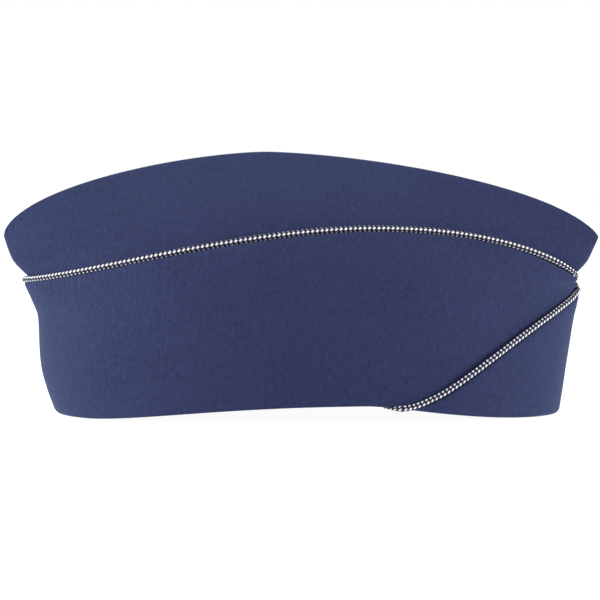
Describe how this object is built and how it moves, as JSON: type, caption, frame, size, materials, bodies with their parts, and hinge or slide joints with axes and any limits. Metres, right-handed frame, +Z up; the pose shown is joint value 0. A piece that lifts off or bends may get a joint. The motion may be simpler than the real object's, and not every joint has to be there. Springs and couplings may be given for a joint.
{
  "type": "side cap",
  "caption": "Soft cloth side cap with a folded two-ridged crown, a turned-up curtain that laps over at the front, and a braided cord along the curtain's edge.",
  "frame": {"origin": "centre of the cap's footprint, at the height of the surface that its rim stands on", "axes": "+X to the front of the cap, -Y to the wearer's right, which is the side that the picture shows, +Z up"},
  "size_m": [0.2768, 0.1312, 0.1209],
  "materials": {
    "crown_cloth": "matt dark blue gabardine with a fine twill line",
    "curtain_cloth": "matt dark blue gabardine with a fine twill line",
    "braid": "round braid of bright silver and black threads"
  },
  "bodies": {
    "root": {"crown_right": "crown_cloth", "crown_left": "crown_cloth", "top_gusset": "crown_cloth", "curtain_right": "curtain_cloth", "curtain_left": "curtain_cloth", "edge_braid": "braid"}
  },
  "joints": []
}
